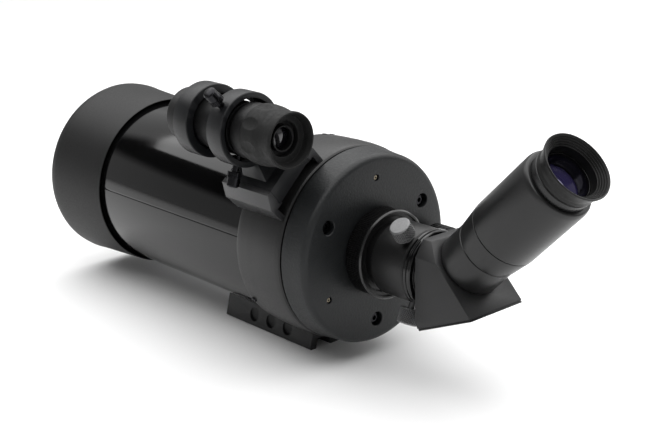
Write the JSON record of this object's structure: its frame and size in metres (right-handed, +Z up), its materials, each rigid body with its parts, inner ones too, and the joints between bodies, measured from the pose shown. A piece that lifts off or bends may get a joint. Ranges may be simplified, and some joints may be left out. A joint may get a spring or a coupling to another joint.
{
  "type": "maksutov telescope",
  "caption": "Compact mirror telescope tube with flared hood, 45 degree diagonal, long eyepiece, ringed finder on a dovetail shoe and a flat slotted foot for a tripod.",
  "frame": {"origin": "centre of the tripod socket's mouth, in the plane the foot rests on", "axes": "+Y along the optical axis towards the sky, +Z up, +X to the right for someone looking through the eyepiece"},
  "size_m": [0.1388, 0.3944, 0.1598],
  "materials": {
    "gloss_black": "gloss black enamel",
    "satin_black": "satin black powder coat",
    "pebbled_black": "fine pebbled black paint",
    "anodised_black": "black anodised, fine turning marks",
    "flat_black": "flat black inside finish",
    "glossy_ring": "gloss black",
    "moulded_black": "matte moulded",
    "rubber": "soft matte rubber",
    "steel": "polished knurled steel",
    "chrome": "bright chrome",
    "screw_black": "blackened steel",
    "screw_brass": "brass plated",
    "brass": "plain brass",
    "glass": "clear, coated",
    "coated_glass": "violet anti-reflection coating",
    "mirror": "aluminised, polished",
    "bare_metal": "machined aluminium",
    "bracket_black": "satin grey-black paint"
  },
  "bodies": {
    "tube": {"main_tube": "gloss_black", "front_hood": "satin_black", "front_cell": "flat_black", "corrector_lens": "glass", "corrector_ring": "flat_black", "secondary_spot": "mirror", "secondary_baffle": "flat_black", "rear_cell": "satin_black", "rear_cover": "pebbled_black", "cover_screws": "screw_black", "collimation_screws": "screw_brass", "tube_screws": "screw_black", "plug_screws": "screw_black", "baffle_tube": "flat_black", "focus_bushing": "brass", "rear_port": "anodised_black", "visual_back_tube": "anodised_black", "clamp_ring": "brass", "finder_shoe": "bracket_black", "shoe_screws": "screw_black", "foot": "bracket_black", "foot_screws": "screw_black", "tripod_insert": "brass"},
    "mirror": {"primary_mirror": "mirror", "mirror_carrier": "bare_metal"},
    "focuser": {"focus_knob": "moulded_black", "focus_rod": "bare_metal"},
    "collar": {"visual_back_ring": "anodised_black"},
    "back_screw_upper": {"thumbscrew_upper": "steel"},
    "back_screw_lower": {"thumbscrew_lower": "steel"},
    "diagonal": {"nosepiece": "chrome", "diagonal_flange": "glossy_ring", "prism_housing": "satin_black", "housing_cover": "moulded_black", "prism": "glass", "eyepiece_holder": "anodised_black"},
    "diagonal_screw": {"holder_screw": "steel"},
    "eyepiece": {"eyepiece_barrel": "chrome", "eyepiece_skirt": "anodised_black", "eyepiece_body": "anodised_black", "eyepiece_collar": "anodised_black", "eyecup": "rubber", "eye_lens": "coated_glass", "eye_lens_ring": "flat_black", "field_lens": "glass"},
    "finder": {"finder_bracket": "bracket_black", "finder_tube": "satin_black", "finder_objective_cell": "anodised_black", "finder_objective_lens": "glass", "finder_prisms": "glass", "finder_reticle": "glass", "finder_o_ring": "rubber", "finder_plunger": "steel"},
    "finder_clamp": {"finder_clamp_screw": "steel"},
    "finder_focus": {"finder_neck": "moulded_black", "finder_grip": "rubber", "finder_eye_lens": "coated_glass"},
    "align_upper": {"finder_screw_upper": "screw_black"},
    "align_lower": {"finder_screw_lower": "screw_black"}
  },
  "joints": [
    {"name": "focus", "type": "hinge", "parent": "tube", "child": "focuser", "pos_m": [0.0405, -0.07, 0.061], "axis": [0, -1, 0], "range_deg": [-1440, 1440]},
    {"name": "mirror_shift", "type": "slide", "parent": "tube", "child": "mirror", "axis": [0, 1, 0], "range_m": [-0.0032, 0.0032]},
    {"name": "collar_unscrew", "type": "hinge", "parent": "tube", "child": "collar", "pos_m": [0, -0.07, 0.0633], "axis": [0, -1, 0], "range_deg": [0, 1080]},
    {"name": "back_screw_upper_turn", "type": "hinge", "parent": "tube", "child": "back_screw_upper", "pos_m": [0, -0.1058, 0.0633], "axis": [-0.5779, 0, 0.8161], "range_deg": [0, 1080]},
    {"name": "back_screw_lower_turn", "type": "hinge", "parent": "tube", "child": "back_screw_lower", "pos_m": [0, -0.1058, 0.0633], "axis": [-0.3955, 0, -0.9184], "range_deg": [0, 1080]},
    {"name": "diagonal_turn", "type": "hinge", "parent": "tube", "child": "diagonal", "pos_m": [0, -0.07, 0.0633], "axis": [0, 1, 0], "continuous": true},
    {"name": "diagonal_screw_turn", "type": "hinge", "parent": "diagonal", "child": "diagonal_screw", "pos_m": [0, -0.14586, 0.07956], "axis": [-1, 0, 0], "range_deg": [0, 1080]},
    {"name": "eyepiece_slide", "type": "slide", "parent": "diagonal", "child": "eyepiece", "axis": [0, -0.7071, 0.7071], "range_m": [0, 0.017]},
    {"name": "finder_slide", "type": "slide", "parent": "tube", "child": "finder", "axis": [0, 1, 0], "range_m": [0, 0.012]},
    {"name": "finder_clamp_turn", "type": "hinge", "parent": "tube", "child": "finder_clamp", "pos_m": [-0.04515, -0.03, 0.11006], "axis": [0.7193, 0, 0.6947], "range_deg": [-1080, 0]},
    {"name": "finder_focus_turn", "type": "hinge", "parent": "finder", "child": "finder_focus", "pos_m": [-0.0578, -0.07, 0.1349], "axis": [0, -1, 0], "range_deg": [-40, 40]},
    {"name": "align_upper_turn", "type": "hinge", "parent": "finder", "child": "align_upper", "pos_m": [-0.0578, -0.0285, 0.1349], "axis": [-0.6947, 0, 0.7193], "range_deg": [-720, 720]},
    {"name": "align_lower_turn", "type": "hinge", "parent": "finder", "child": "align_lower", "pos_m": [-0.0578, -0.0285, 0.1349], "axis": [-0.2756, 0, -0.9613], "range_deg": [-720, 720]}
  ],
  "couplings": [
    {"joint": "focus", "follows": "mirror_shift", "rad_per_m": 7854}
  ]
}
